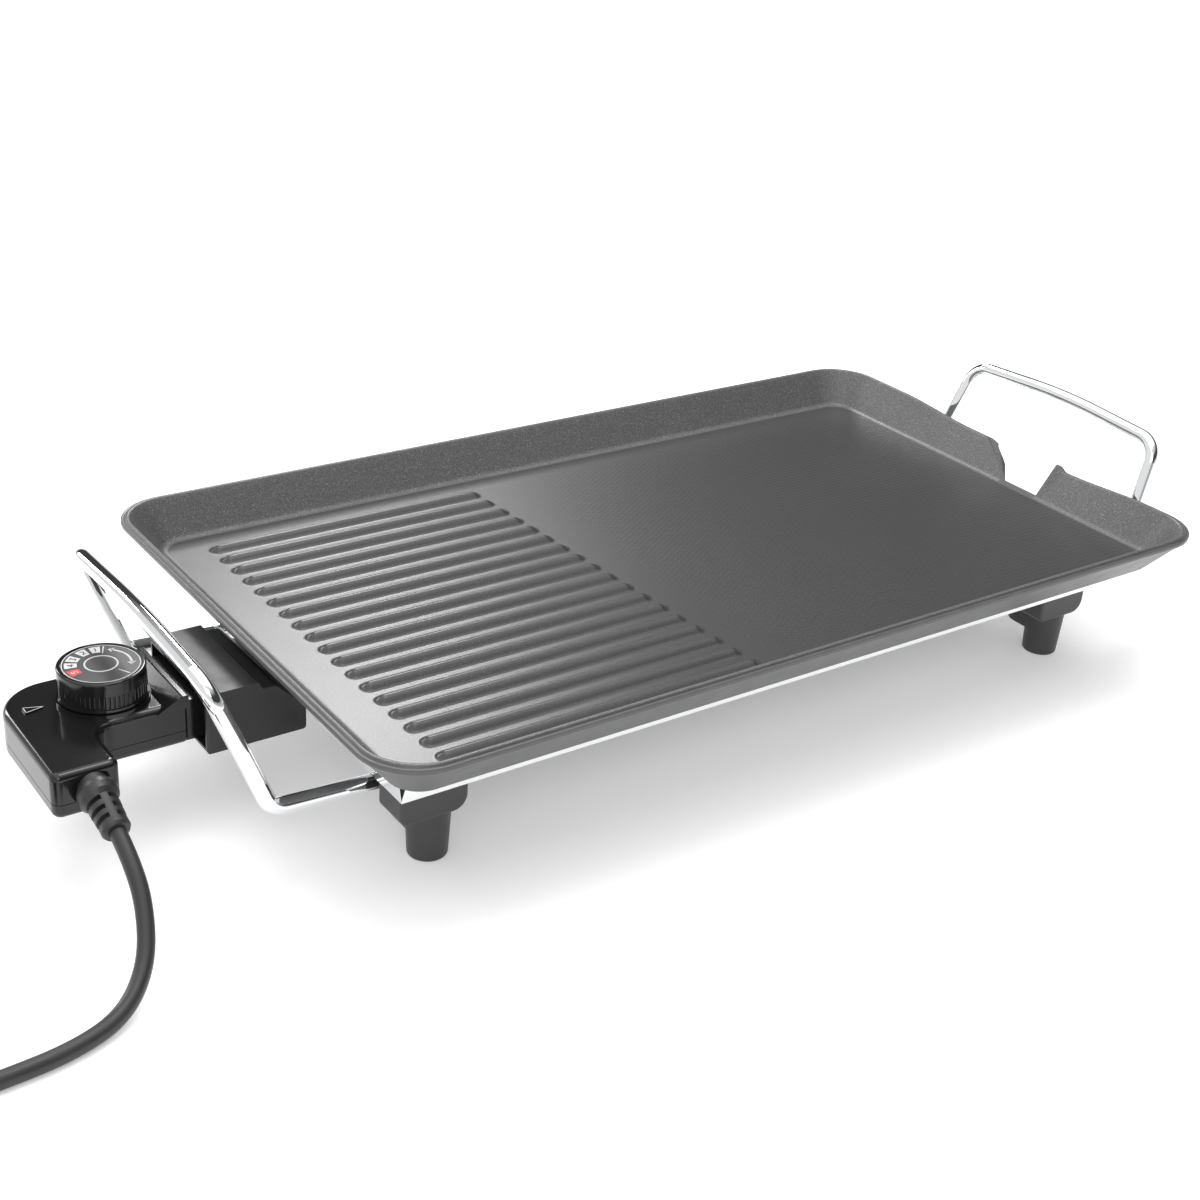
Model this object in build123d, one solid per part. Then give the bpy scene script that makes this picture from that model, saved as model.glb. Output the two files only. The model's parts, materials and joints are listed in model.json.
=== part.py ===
from build123d import *
import os
from math import cos, pi, radians, sin, tan

# Electric griddle, millimetres, +Z up. Every shape is drawn about the centre of
# the cooking plate, with z measured from the surface that the feet stand on.
# save() then shifts it along X, so that the origin is under the middle of the
# whole object.

# ---- driving dimensions -------------------------------------------------
PLATE_LENGTH = 480.0
PLATE_WIDTH = 281.7
PLATE_TOP = 78.0
PLATE_BOTTOM = 55.0
FLOOR_TOP = 60.0
CORNER_RADIUS = 27.0
RIM_HEIGHT = 3.6
RIM_WIDTH = 3.7
OUTER_FLARE = 18.0
INNER_FLARE = 13.6

RIB_COUNT = 18
RIB_PITCH = 12.62
RIB_WIDTH = 7.6
RIB_RISE = 2.2
RIB_LEFT = -202.0
RIB_RIGHT = -42.0
RIB_MIDDLE_Y = -3.5

NOTCH_FRONT_Y = -38.4
NOTCH_REAR = [(-13.0, 60.0), (-5.2, 68.0), (2.3, 71.9), (8.5, 75.6), (15.2, 78.0), (18.0, 79.0)]

FRAME_HALF_LENGTH = 213.0
FRAME_HALF_WIDTH = 103.3
FRAME_BOTTOM = 38.0
FRAME_SHEET = 1.2
FRAME_FLANGE = 24.0
SOCKET_GAP = 62.0

WIRE_RADIUS = 3.75
HANDLE_LEG_Y = 75.4
HANDLE_LEG_Z = 31.2
HANDLE_BEND_X = 257.0
HANDLE_BEND_Z = 34.4
HANDLE_TOP_X = 279.8
HANDLE_TOP_Y = 68.4
HANDLE_TOP_Z = 93.3
HANDLE_CROWN_Z = 97.6
HANDLE_END_X = 189.0

FOOT_BLOCK_X = (-213.0, 164.8)
FOOT_LEG_OFFSET = 20.5
FOOT_LEG_Y = -90.0
FOOT_BLOCK_WIDTH = 32.0
FOOT_BLOCK_REAR = -85.0
FOOT_BLOCK_BOTTOM = 25.8
FOOT_BOSS_BOTTOM = 13.5
FOOT_TIP_RADIUS = 8.8
FOOT_ROOT_RADIUS = 10.4

SOCKET_LEFT = -263.4
SOCKET_RIGHT = -218.0
SOCKET_HALF_WIDTH = 29.2
SOCKET_TOP = 64.5
SOCKET_BOTTOM = 36.2
SOCKET_SEAM = 40.5
SOCKET_COVER_LEFT = -242.0
SOCKET_WALL = 2.0

BODY_TOP = 59.0
BODY_BOTTOM = 39.0
BODY_SEAM = 45.6
BODY_WALL = 2.0
BODY_LEFT = -336.0
ARM_RIGHT = -268.0
ARM_FRONT = -21.0
ARM_REAR = 25.0
NOSE_RIGHT = -248.5
SLEEVE_RADIUS = 3.3

KNOB_X = -296.0
KNOB_Y = 0.0
KNOB_TOP = 74.6
KNOB_BOTTOM = 61.4
KNOB_RADIUS = 18.2

ELEMENT_RADIUS = 3.5
ELEMENT_Z = PLATE_BOTTOM - ELEMENT_RADIUS
ELEMENT_Y = 62.0
ELEMENT_END = 165.0
STRAP_X = (-110.0, 20.0, 120.0)
PIN_Y = 12.0
PIN_Z = 47.6
PIN_RADIUS = 2.4
PROBE_Z = 48.0
PROBE_RADIUS = 3.0

CORD_RADIUS = 3.5
CORD_DIAMETER = 2 * CORD_RADIUS
COIL_CENTRE = (-438.0, -97.5)
COIL_INNER_TURN = 28.0
COIL_OUTER_TURN = 42.0
COIL_HEIGHT = 2 * CORD_DIAMETER + 0.2

FIT = 0.05
HANDLE_REACH = HANDLE_TOP_X + WIRE_RADIUS + 0.6
PLATE_X = (-BODY_LEFT - HANDLE_REACH) / 2

os.makedirs("parts", exist_ok=True)


def save(name, shape):
    """Write one node, shifted so the object's box is centred on the origin."""
    solids = [solid.moved(Location((PLATE_X, 0, 0))) for solid in shape.solids()]
    node = solids[0] if len(solids) == 1 else Compound(solids)
    node.label = name
    export_step(node, f"parts/{name}.step")


# ---- small shape helpers -------------------------------------------------
def block(x0, x1, y0, y1, z0, z1):
    """An upright box given by its two corners."""
    size = (x1 - x0, y1 - y0, z1 - z0)
    middle = ((x0 + x1) / 2, (y0 + y1) / 2, (z0 + z1) / 2)
    return Pos(*middle) * Box(*size)


def post(x, y, z0, z1, radius):
    """An upright cylinder."""
    return Pos(x, y, (z0 + z1) / 2) * Cylinder(radius, z1 - z0)


def bar_x(x0, x1, y, z, radius):
    """A cylinder lying along X."""
    return Pos((x0 + x1) / 2, y, z) * Rot(0, 90, 0) * Cylinder(radius, x1 - x0)


def bar_y(x, y0, y1, z, radius):
    """A cylinder lying along Y."""
    return Pos(x, (y0 + y1) / 2, z) * Rot(90, 0, 0) * Cylinder(radius, y1 - y0)


def rounded(half_x, half_y, radius, z):
    """A rounded rectangle at height z."""
    return Plane.XY.offset(z) * RectangleRounded(2 * half_x, 2 * half_y, radius)


def prism(points, radii, z0, z1):
    """A closed outline with its own radius at each corner, extruded upwards."""
    outline = FilletPolyline(*points, radius=radii, close=True)
    return Pos(0, 0, z0) * extrude(make_face(outline), z1 - z0, dir=(0, 0, 1))


def profile_xz(points, radii, y0, y1):
    """An outline drawn in X and Z, extruded from y0 to y1."""
    outline = FilletPolyline(*[(x, 0, z) for x, z in points], radius=radii, close=True)
    return Pos(0, y0, 0) * extrude(make_face(outline), y1 - y0, dir=(0, 1, 0))


def profile_yz(points, x0, x1):
    """A sharp outline drawn in Y and Z, extruded from x0 to x1."""
    outline = Polyline(*[(0, y, z) for y, z in points], close=True)
    return Pos(x0, 0, 0) * extrude(make_face(outline), x1 - x0, dir=(1, 0, 0))


def swept_wire(points, radii, radius):
    """A round wire along straight runs joined by tangent arcs."""
    path = FilletPolyline(*points, radius=radii)
    section = Plane(origin=path @ 0, z_dir=path % 0) * Circle(radius)
    return sweep(section, path)


def pan_screw(x, y, z_seat, length, shank, head, head_height, up=True):
    """A pan head screw whose head sits at z_seat and whose shank goes up or down."""
    way = 1 if up else -1
    ends = sorted((z_seat, z_seat + way * length))
    crown = sorted((z_seat, z_seat - way * head_height))
    screw = post(x, y, ends[0], ends[1], shank) + post(x, y, crown[0], crown[1], head)
    drive = z_seat - way * head_height
    slot = Pos(x, y, drive) * (Box(head * 1.3, 0.9, 1.6) + Box(0.9, head * 1.3, 1.6))
    return screw - slot


# ---- cooking plate ---------------------------------------------------------
def griddle_plate():
    """Cast tray: flared wall, beaded rim, ribs on the left, drain notch on the right."""
    half_x = PLATE_LENGTH / 2
    half_y = PLATE_WIDTH / 2
    wall_top = PLATE_TOP - RIM_HEIGHT
    wall = loft([
        rounded(half_x - OUTER_FLARE, half_y - OUTER_FLARE, CORNER_RADIUS - 6, PLATE_BOTTOM).face(),
        rounded(half_x - 1.6, half_y - 1.6, CORNER_RADIUS - 1.2, wall_top).face(),
    ])
    wall = fillet(wall.edges().group_by(Axis.Z)[0], 2.5)
    rim = Pos(0, 0, wall_top) * extrude(RectangleRounded(PLATE_LENGTH, PLATE_WIDTH, CORNER_RADIUS), RIM_HEIGHT)
    rim = fillet(rim.edges().group_by(Axis.Z)[-1], 1.5)
    rim = fillet(rim.edges().group_by(Axis.Z)[0], 0.7)
    cavity_top = PLATE_TOP + 4
    lean = INNER_FLARE / (PLATE_TOP - FLOOR_TOP)
    top_x = half_x - RIM_WIDTH + lean * (cavity_top - PLATE_TOP)
    top_y = half_y - RIM_WIDTH + lean * (cavity_top - PLATE_TOP)
    cavity = loft([
        rounded(half_x - RIM_WIDTH - INNER_FLARE, half_y - RIM_WIDTH - INNER_FLARE, 16, FLOOR_TOP).face(),
        rounded(top_x, top_y, CORNER_RADIUS - 2, cavity_top).face(),
    ])
    cavity = fillet(cavity.edges().group_by(Axis.Z)[0], 4.0)
    plate = wall + rim - cavity
    one_rib = extrude(SlotOverall(RIB_RIGHT - RIB_LEFT, RIB_WIDTH), RIB_RISE + 0.4, taper=22)
    one_rib = fillet(one_rib.edges().group_by(Axis.Z)[-1], 1.2)
    for index in range(RIB_COUNT):
        y = RIB_MIDDLE_Y + (index - (RIB_COUNT - 1) / 2) * RIB_PITCH
        plate += Pos((RIB_LEFT + RIB_RIGHT) / 2, y, FLOOR_TOP - 0.4) * one_rib
    notch_front = [(NOTCH_FRONT_Y, NOTCH_REAR[-1][1]), (NOTCH_FRONT_Y, FLOOR_TOP)]
    notch = profile_yz(notch_front + NOTCH_REAR, half_x - RIM_WIDTH - INNER_FLARE - 3, half_x + 2)
    plate = plate - notch
    for x, y in boss_places():
        plate += post(x, y, FRAME_BOTTOM + FRAME_SHEET, PLATE_BOTTOM + 0.5, 5.0)
    for x, y in boss_places():
        plate -= post(x, y, FRAME_BOTTOM, PLATE_BOTTOM - 4, 1.75)
    return plate


def boss_places():
    """The plate's four screw bosses, which stand on the frame's flange."""
    return [(sx * 200.0, sy * 60.0) for sx in (-1, 1) for sy in (-1, 1)]


# ---- chrome frame ----------------------------------------------------------
def base_frame():
    """Folded sheet frame: upright band, inward flange, a vee cut at each corner."""
    long_side = FRAME_HALF_LENGTH
    wide_side = FRAME_HALF_WIDTH
    band = block(-long_side, long_side, -wide_side, wide_side, FRAME_BOTTOM, PLATE_BOTTOM)
    inner_x = long_side - FRAME_SHEET
    inner_y = wide_side - FRAME_SHEET
    band -= block(-inner_x, inner_x, -inner_y, inner_y, FRAME_BOTTOM + FRAME_SHEET, PLATE_BOTTOM)
    open_x = long_side - FRAME_FLANGE
    open_y = wide_side - FRAME_FLANGE
    window = Pos(0, 0, FRAME_BOTTOM - 1) * extrude(RectangleRounded(2 * open_x, 2 * open_y, 12), 4)
    frame = band - window
    half_gap = SOCKET_GAP / 2
    frame -= block(-long_side - 1, -open_x - 4, -half_gap, half_gap, FRAME_BOTTOM - 1, PLATE_BOTTOM + 1)
    vee = profile_xz([(-3.6, PLATE_BOTTOM + 1), (3.6, PLATE_BOTTOM + 1), (0, FRAME_BOTTOM + 1)],
                     [0, 0, 0], -4, 4)
    for sx in (-1, 1):
        for sy in (-1, 1):
            turn = -45 if sx * sy > 0 else 45
            frame -= Pos(sx * long_side, sy * wide_side, 0) * Rot(0, 0, turn) * vee
    for x, y in boss_places():
        frame -= post(x, y, FRAME_BOTTOM - 1, FRAME_BOTTOM + 2, 1.8)
    for x, y in foot_screw_places():
        frame -= post(x, y, FRAME_BOTTOM - 1, FRAME_BOTTOM + 2, 1.8)
    return frame


def foot_screw_places():
    """The screw up the middle of each foot's leg: two in front, the same two turned behind."""
    front = [(x0 + FOOT_LEG_OFFSET, FOOT_LEG_Y) for x0 in FOOT_BLOCK_X]
    return front + [(-x, -y) for x, y in front]


# ---- handles ----------------------------------------------------------------
def handle(side, radius=WIRE_RADIUS):
    """A bent wire grip: legs under the frame, risers leaning out, a crowned top."""
    leg_y = HANDLE_LEG_Y
    points = [
        (HANDLE_END_X, -leg_y, HANDLE_LEG_Z),
        (HANDLE_BEND_X, -leg_y, HANDLE_BEND_Z),
        (HANDLE_TOP_X, -HANDLE_TOP_Y, HANDLE_TOP_Z),
        (HANDLE_TOP_X + 0.6, 0, HANDLE_CROWN_Z),
        (HANDLE_TOP_X, HANDLE_TOP_Y, HANDLE_TOP_Z),
        (HANDLE_BEND_X, leg_y, HANDLE_BEND_Z),
        (HANDLE_END_X, leg_y, HANDLE_LEG_Z),
    ]
    wire = swept_wire([(side * x, y, z) for x, y, z in points], [9, 13, 400, 13, 9], radius)
    return wire


# ---- feet --------------------------------------------------------------------
def front_foot(x0, wire_side):
    """Moulded foot: block under the frame corner, tapered leg, boss round the wire end."""
    far = x0 + FOOT_BLOCK_WIDTH
    low = FOOT_BLOCK_BOTTOM
    shoe = profile_xz([(x0, FRAME_BOTTOM), (far, FRAME_BOTTOM), (far, low), (x0, low)],
                      [0, 0, 7, 4], -FRAME_HALF_WIDTH, FOOT_BLOCK_REAR)
    shoe = fillet(shoe.edges().filter_by(Axis.Z).group_by(Axis.Y)[0], 1.5)
    leg_x = x0 + FOOT_LEG_OFFSET
    leg_height = FRAME_BOTTOM - 4
    leg = Cone(FOOT_TIP_RADIUS, FOOT_ROOT_RADIUS, leg_height)
    leg = fillet(leg.edges().group_by(Axis.Z)[0], 1.4)
    leg = Pos(leg_x, FOOT_LEG_Y, leg_height / 2) * leg
    boss_y = FOOT_LEG_Y + 12
    boss = post(leg_x, boss_y, FOOT_BOSS_BOTTOM, FRAME_BOTTOM, 9.6)
    web = block(leg_x - 9.6, leg_x + 9.6, FOOT_LEG_Y, boss_y, FOOT_BOSS_BOTTOM, FRAME_BOTTOM)
    body = shoe + leg + boss + web
    pocket_x = leg_x + wire_side * 8.5
    body -= block(pocket_x - 1.5, pocket_x + 1.5, -81.4, -73.8, 17.5, 24.5)
    body -= post(leg_x, FOOT_LEG_Y, -1, 25, 4.2)
    body -= post(leg_x, FOOT_LEG_Y, 20, FRAME_BOTTOM + 1, 1.8)
    body -= handle(wire_side, WIRE_RADIUS + FIT)
    return body


def foot_screws():
    """Four screws, up the legs and through the frame's flange."""
    return Compound(children=[
        pan_screw(x, y, 25, 15.5, 1.7, 3.4, 2.4) for x, y in foot_screw_places()
    ])


def plate_screws():
    """Four screws, up through the flange into the plate's bosses."""
    return Compound(children=[
        pan_screw(x, y, FRAME_BOTTOM, 11, 1.7, 3.4, 2.2) for x, y in boss_places()
    ])


# ---- heating element ------------------------------------------------------------
def heating_element():
    """Sheathed tube in one wide loop against the underside of the plate."""
    points = [
        (-229, -PIN_Y, PIN_Z), (-212, -PIN_Y, PIN_Z), (-195, -19, ELEMENT_Z),
        (-165, -ELEMENT_Y, ELEMENT_Z), (ELEMENT_END, -ELEMENT_Y, ELEMENT_Z),
        (ELEMENT_END, ELEMENT_Y, ELEMENT_Z), (-165, ELEMENT_Y, ELEMENT_Z),
        (-195, 19, ELEMENT_Z), (-212, PIN_Y, PIN_Z), (-229, PIN_Y, PIN_Z),
    ]
    return swept_wire(points, [18, 24, 30, 45, 45, 30, 24, 18], ELEMENT_RADIUS)


def element_straps():
    """Three saddle strips that hold the element up against the plate."""
    straps = []
    low = ELEMENT_Z - ELEMENT_RADIUS
    for x in STRAP_X:
        for y in (-ELEMENT_Y, ELEMENT_Y):
            saddle = block(x - 6, x + 6, y - 5.5, y + 5.5, low - 1, PLATE_BOTTOM)
            saddle -= block(x - 7, x + 7, y - 4.2, y + 4.2, low, PLATE_BOTTOM + 1)
            ear = block(x - 6, x + 6, y + 4.3, y + 15, PLATE_BOTTOM - 1, PLATE_BOTTOM)
            far_ear = block(x - 6, x + 6, y - 15, y - 4.3, PLATE_BOTTOM - 1, PLATE_BOTTOM)
            strap = saddle + ear + far_ear
            strap -= post(x, y + 10.5, PLATE_BOTTOM - 2, PLATE_BOTTOM + 1, 1.6)
            strap -= post(x, y - 10.5, PLATE_BOTTOM - 2, PLATE_BOTTOM + 1, 1.6)
            straps.append(strap)
    return Compound(children=straps)


def strap_rivets():
    """The rivets of the element's straps, clear of the plate above them."""
    rivets = []
    for x in STRAP_X:
        for y in (-ELEMENT_Y, ELEMENT_Y):
            for dy in (-10.5, 10.5):
                head = post(x, y + dy, PLATE_BOTTOM - 2.4, PLATE_BOTTOM - 1, 2.8)
                rivets.append(head + post(x, y + dy, PLATE_BOTTOM - 1, PLATE_BOTTOM, 1.5))
    return Compound(children=rivets)


def element_seals():
    """Ceramic collars on the ends of the element's sheath."""
    return Compound(children=[
        bar_x(-233, -229, y, PIN_Z, 4.6) for y in (-PIN_Y, PIN_Y)
    ])


def terminal_pins():
    """The two cold pins that the controller's sockets slide over."""
    pins = []
    for y in (-PIN_Y, PIN_Y):
        pin = bar_x(-257, -233, y, PIN_Z, PIN_RADIUS)
        pins.append(chamfer(pin.edges().group_by(Axis.X)[0], 0.8))
    return Compound(children=pins)


# ---- socket under the left edge of the plate ------------------------------------
def socket_outline(inset):
    """The socket's side outline in X and Z, stepped to pass under the plate."""
    top = SOCKET_TOP - inset
    low = SOCKET_BOTTOM + inset
    right = SOCKET_RIGHT - inset
    return [
        (SOCKET_LEFT, low), (right, low), (right, 53.6 - inset), (-224.5 - inset, 53.6 - inset),
        (-231.5 - inset, 61 - inset), (-238 - inset, 61 - inset),
        (-239.5 - inset, top), (SOCKET_LEFT, top),
    ]


def socket_shell():
    """The whole socket as one hollow box, open towards the controller."""
    radii = [0, 1.5, 3, 4, 2, 1, 1, 0]
    half = SOCKET_HALF_WIDTH
    outer = profile_xz(socket_outline(0), radii, -half, half)
    outer = fillet(outer.faces().sort_by(Axis.X)[0].edges(), 1.2)
    cavity_points = socket_outline(SOCKET_WALL)
    cavity_points[0] = (SOCKET_LEFT - 1, cavity_points[0][1])
    cavity_points[-1] = (SOCKET_LEFT - 1, cavity_points[-1][1])
    inner = half - SOCKET_WALL
    shell = outer - profile_xz(cavity_points, [0, 1, 2, 2, 1, 0.5, 0.5, 0], -inner, inner)
    for y in (-PIN_Y, PIN_Y):
        shell -= bar_x(SOCKET_RIGHT - 4, SOCKET_RIGHT + 1, y, PIN_Z, ELEMENT_RADIUS + 0.4)
    return shell - bar_x(SOCKET_RIGHT - 4, SOCKET_RIGHT + 1, 0, PROBE_Z, PROBE_RADIUS + 0.6)


def cover_space():
    """The space of the lower cover: below the seam, behind the open end."""
    return block(SOCKET_COVER_LEFT, SOCKET_RIGHT + 5, -40, 40, SOCKET_BOTTOM - 5, SOCKET_SEAM)


def earth_contact():
    """Sprung earth strip that stands on the socket's floor, just under the probe."""
    floor = SOCKET_BOTTOM + SOCKET_WALL
    top = PROBE_Z - PROBE_RADIUS - 0.3
    foot_strip = block(-236, -224, -4, 4, floor, floor + 0.6)
    riser = block(-224.6, -224, -4, 4, floor, top)
    return foot_strip + riser + block(-236, -224, -4, 4, top - 0.6, top)


# ---- plug-in temperature controller -------------------------------------------------
def body_points(inset):
    """The controller's outline from above: arm, rounded outer end and cord leg."""
    return [
        (ARM_RIGHT - inset, ARM_REAR - inset), (BODY_LEFT + inset, ARM_REAR - inset),
        (BODY_LEFT + inset, -50 + inset), (-308.5 - inset, -50 + inset),
        (-308.5 - inset, ARM_FRONT + inset), (ARM_RIGHT - inset, ARM_FRONT + inset),
    ]


def controller_box():
    """The controller's closed outer shape, with its rounded upper edges."""
    box = prism(body_points(0), [1.5, 22, 4, 4, 9, 1.5], BODY_BOTTOM, BODY_TOP)
    box = fillet(box.edges().group_by(Axis.Z)[-1], 3.0)
    box = fillet(box.edges().group_by(Axis.Z)[0], 3.0)
    crest = profile_xz([
        (-282, BODY_TOP - 2), (-271, BODY_TOP + 4.2), (ARM_RIGHT, BODY_TOP + 4.2),
        (ARM_RIGHT, BODY_TOP - 2),
    ], [0, 1.5, 0.8, 0], ARM_FRONT - 1.5, ARM_REAR - 0.5)
    nose = prism([
        (NOSE_RIGHT, 20.5), (ARM_RIGHT - 1, 20.5), (ARM_RIGHT - 1, -20.5), (NOSE_RIGHT, -20.5),
    ], [1, 0, 0, 1], BODY_BOTTOM + 1.4, BODY_TOP + 0.6)
    ring = post(KNOB_X, KNOB_Y, BODY_TOP - 1, BODY_TOP + 1.6, KNOB_RADIUS + 1.2)
    pointer = prism([(-328.5, 5.4), (-328.5, 0.4), (-319.5, 2.2)], [0.5, 0.5, 0.4], BODY_TOP - 1, BODY_TOP + 0.7)
    return box + crest + nose + ring + pointer


def controller_cavity():
    """The space inside the controller."""
    room = prism(body_points(BODY_WALL), [0.5, 20, 2, 2, 10, 0.5],
                 BODY_BOTTOM + BODY_WALL, BODY_TOP - BODY_WALL)
    nose = block(ARM_RIGHT - 3, NOSE_RIGHT - 2, -18.5, 18.5, BODY_BOTTOM + 3.4, BODY_TOP - 1.4)
    return room + nose


def controller_shell():
    """Outer shape less the cavity and every hole through the wall."""
    shell = controller_box() - controller_cavity() - seam_groove()
    shell -= post(KNOB_X, KNOB_Y, BODY_TOP - 4, BODY_TOP + 3, 4.5)
    for y in (-PIN_Y, PIN_Y):
        shell -= bar_x(NOSE_RIGHT - 3, NOSE_RIGHT + 1, y, PIN_Z, SLEEVE_RADIUS + 0.1)
    shell -= bar_x(NOSE_RIGHT - 3, NOSE_RIGHT + 1, 0, PROBE_Z, PROBE_RADIUS + FIT)
    return shell - bar_y(CORD_EXIT[0], -52, -47, CORD_EXIT[2], 6.6)


def seam_groove():
    """The shallow line round the controller where its shells meet."""
    around = block(BODY_LEFT - 2, ARM_RIGHT + 2, -52, ARM_REAR + 2, BODY_SEAM - 0.15, BODY_SEAM + 0.15)
    kept = prism(body_points(0.35), [1.2, 21.6, 3.6, 3.6, 9.3, 1.2], BODY_SEAM - 1, BODY_SEAM + 1)
    return around - kept - block(ARM_RIGHT, ARM_RIGHT + 3, -30, 30, BODY_SEAM - 1, BODY_SEAM + 1)


def half_space(z0, z1):
    """A slab that keeps only what lies between two heights."""
    return block(BODY_LEFT - 5, -240, -60, 40, z0, z1)


def screw_towers():
    """Hollow towers in the controller for its three screws."""
    towers = []
    for x, y in CONTROLLER_SCREWS:
        tower = post(x, y, BODY_BOTTOM + BODY_WALL, BODY_TOP - BODY_WALL, 3.4)
        towers.append(tower - post(x, y, BODY_BOTTOM, BODY_TOP - 4, 1.4))
    return towers


CORD_EXIT = (-320.0, -50.0, 50.4)
RELIEF_END = (-320.0, -73.3, 43.0)
CONTROLLER_SCREWS = [(-329.0, -40.0), (-313.0, 17.0), (-274.0, -14.0)]


def controller_screws():
    """Three screws up from below, which hold the shells together."""
    return Compound(children=[
        pan_screw(x, y, BODY_BOTTOM, 12, 1.3, 2.6, 1.5) for x, y in CONTROLLER_SCREWS
    ])


def control_knob():
    """Ribbed knob with a recessed top and a hub for the spindle."""
    knob = post(KNOB_X, KNOB_Y, KNOB_BOTTOM, KNOB_TOP, KNOB_RADIUS)
    knob = fillet(knob.edges().group_by(Axis.Z)[-1], 1.0)
    knob -= post(KNOB_X, KNOB_Y, KNOB_TOP - 0.7, KNOB_TOP + 1, KNOB_RADIUS - 1.9)
    knob -= post(KNOB_X, KNOB_Y, KNOB_BOTTOM - 1, KNOB_TOP - 2.6, KNOB_RADIUS - 1.9)
    knob += post(KNOB_X, KNOB_Y, KNOB_BOTTOM + 1.4, KNOB_TOP - 2, 5.4)
    knob -= post(KNOB_X, KNOB_Y, KNOB_BOTTOM - 1, KNOB_TOP - 3.4, 3 + FIT)
    knob += post(KNOB_X, KNOB_Y, KNOB_BOTTOM, KNOB_BOTTOM + 1.1, KNOB_RADIUS + 0.5) - post(
        KNOB_X, KNOB_Y, KNOB_BOTTOM - 1, KNOB_TOP, KNOB_RADIUS - 1)
    grip_count = 60
    groove = Cylinder(0.5, 5.4)
    for index in range(grip_count):
        angle = 2 * pi * index / grip_count
        x = KNOB_X + (KNOB_RADIUS + 0.15) * cos(angle)
        y = KNOB_Y + (KNOB_RADIUS + 0.15) * sin(angle)
        knob -= Pos(x, y, KNOB_BOTTOM + 4.3) * groove
    return knob


def dial_disc():
    """Thin printed disc in the knob's recess."""
    return post(KNOB_X, KNOB_Y, KNOB_TOP - 0.7, KNOB_TOP - 0.25, KNOB_RADIUS - 2.0)


def knob_spindle():
    """Spindle that turns with the knob and screws down on the switch."""
    return post(KNOB_X, KNOB_Y, 52.5, KNOB_TOP - 3.4, 3.0)


def spindle_bush():
    """Threaded bush fixed in the upper shell."""
    bush = post(KNOB_X, KNOB_Y, 53, BODY_TOP + 3.2, 4.45) + post(KNOB_X, KNOB_Y, 54, 56.9, 6.2)
    return bush - post(KNOB_X, KNOB_Y, 50, 64, 3 + FIT)


def bush_nut():
    """Hexagon nut on the bush, under the knob."""
    flat = extrude(RegularPolygon(6.4, 6), 1.4)
    return Pos(KNOB_X, KNOB_Y, BODY_TOP + 1.6) * flat - post(KNOB_X, KNOB_Y, 58, 64, 4.5)


def switch_stack():
    """Ceramic stack that carries the switch's leaves."""
    stack = block(-314, -306, -5, 5, 41.2, 52)
    stack -= block(-315, -305.9, -6, 6, 47.9, 49.1)
    stack -= block(-315, -305.9, -6, 6, 44.9, 46.1)
    return stack - post(-310, 0, 40, 53, 1.6)


def stack_screw():
    """The screw through the ceramic stack."""
    return pan_screw(-310, 0, 52, 10.6, 1.5, 2.8, 1.6, up=False)


def upper_leaf():
    """Sprung contact leaf under the spindle."""
    leaf = block(-318, -290, -3, 3, 48.2, 48.8) + post(-293, 0, 47.2, 48.2, 2)
    return leaf + post(-296, 0, 48.8, 52.3, 2) - post(-310, 0, 40, 53, 1.6)


def lower_leaf():
    """Fixed contact leaf below it."""
    leaf = block(-318, -290, -3, 3, 45.2, 45.8) + post(-293, 0, 45.8, 47.1, 2)
    return leaf - post(-310, 0, 40, 53, 1.6)


def bimetal_strip():
    """Bimetal strip on the end of the probe."""
    return block(-289, -270, -2.2, 2.2, 46.4, 47.4) + block(-289, -287.5, -2.2, 2.2, 47.4, 50)


def probe_tube():
    """Closed heat-sensing tube that reaches under the plate."""
    tube = bar_x(-270, -196, 0, PROBE_Z, PROBE_RADIUS)
    return fillet(tube.edges().group_by(Axis.X)[-1], 1.5)


def pin_sockets():
    """Two brass sleeves that slide over the pins."""
    sleeves = []
    for y in (-PIN_Y, PIN_Y):
        sleeve = bar_x(-266, -250.6, y, PIN_Z, SLEEVE_RADIUS)
        sleeve -= bar_x(-262, -249, y, PIN_Z, PIN_RADIUS + 0.08)
        sleeves.append(sleeve)
    return Compound(children=sleeves)


def socket_carrier():
    """Heat-resistant block that holds the two sleeves and the probe."""
    carrier = block(-267.5, -262.5, -18, 18, 42.6, 56)
    for y in (-PIN_Y, PIN_Y):
        carrier -= bar_x(-268, -262, y, PIN_Z, SLEEVE_RADIUS + FIT)
    return carrier - bar_x(-268, -262, 0, PROBE_Z, PROBE_RADIUS + FIT)


def cord_clamp():
    """Bridge on two legs that grips the cord inside the shell."""
    floor = BODY_BOTTOM + BODY_WALL
    bridge = CORD_EXIT[2] + CORD_RADIUS + 0.1
    clamp = block(-325.2, -314.8, -41, -36, bridge, bridge + 1.2)
    for x in (-325.2, -316.2):
        clamp += block(x, x + 1.4, -41, -36, floor, bridge)
    return clamp


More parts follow.
